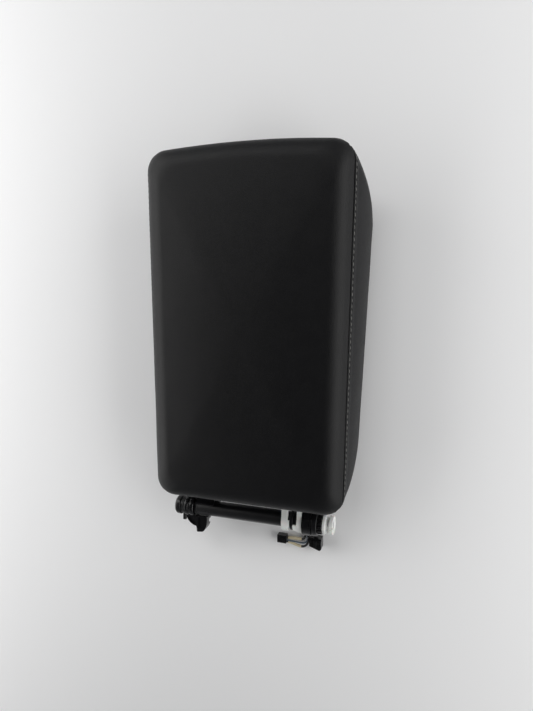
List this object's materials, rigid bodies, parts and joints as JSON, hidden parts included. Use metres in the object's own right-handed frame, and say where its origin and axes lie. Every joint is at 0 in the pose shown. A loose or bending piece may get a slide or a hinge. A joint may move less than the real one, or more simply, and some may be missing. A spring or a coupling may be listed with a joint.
{
  "type": "center console armrest",
  "caption": "Padded leather armrest lid for a car's center console, on a rear tube hinge with a torsion spring, cable clip and short harness.",
  "frame": {"origin": "centre of the bounding box's footprint, on the plane of the four bumpers that the closed lid rests on", "axes": "+Z out of the padded top, +Y to the armrest's front edge, hinge line along X at the rear"},
  "size_m": [0.1866, 0.3452, 0.0634],
  "materials": {
    "cover_leather": "satin, fine grain",
    "pad_foam": "moulded foam",
    "carrier_plastic": "moulded, matt",
    "lower_cover_plastic": "fine moulded grain",
    "bumper_rubber": "matt",
    "screw_black": "black coated",
    "bright_steel": "zinc plated",
    "arm_black_metal": "satin black coat",
    "hinge_black_plastic": "satin gloss black",
    "white_nylon": "slightly translucent nylon",
    "black_lead": "soft black sleeve",
    "cream_lead": "cream sleeve",
    "connector_plastic": "black"
  },
  "bodies": {
    "hinge_base": {"hinge_shaft": "bright_steel", "end_bush": "hinge_black_plastic", "stop_claw": "arm_black_metal", "brake_ring": "hinge_black_plastic", "toothed_collar": "hinge_black_plastic", "nylon_spool": "white_nylon", "torsion_spring": "bright_steel"},
    "lid": {"cover_top_panel": "cover_leather", "cover_side_panel_left": "cover_leather", "cover_side_panel_right": "cover_leather", "foam_pad": "pad_foam", "carrier": "carrier_plastic", "lower_cover": "lower_cover_plastic", "bumper_1": "bumper_rubber", "bumper_2": "bumper_rubber", "bumper_3": "bumper_rubber", "bumper_4": "bumper_rubber", "cable_grommet": "bumper_rubber", "liner_screw_1": "screw_black", "liner_screw_2": "screw_black", "liner_screw_3": "screw_black", "liner_screw_4": "screw_black", "liner_screw_5": "screw_black", "liner_screw_6": "screw_black", "arm_screw_1": "bright_steel", "arm_screw_2": "bright_steel", "arm_screw_3": "bright_steel", "arm_screw_4": "bright_steel", "clip_screw_1": "bright_steel", "catch_screw_1": "bright_steel", "catch_screw_2": "bright_steel", "catch_plate": "bright_steel", "hinge_arm_left": "arm_black_metal", "hinge_arm_right": "arm_black_metal", "spring_anchor": "arm_black_metal", "spring_tube": "hinge_black_plastic", "cable_clip": "white_nylon", "tube_bush": "hinge_black_plastic", "knuckle_bush": "white_nylon", "lead_main": "black_lead", "lead_branch": "black_lead", "lead_cream_upper": "cream_lead", "lead_cream_lower": "cream_lead", "plug_small": "connector_plastic", "plug_large": "connector_plastic"}
  },
  "joints": [
    {"name": "lid_hinge", "type": "hinge", "parent": "hinge_base", "child": "lid", "pos_m": [0, -0.1428, 0.026], "axis": [1, 0, 0], "range_deg": [0, 95]}
  ]
}
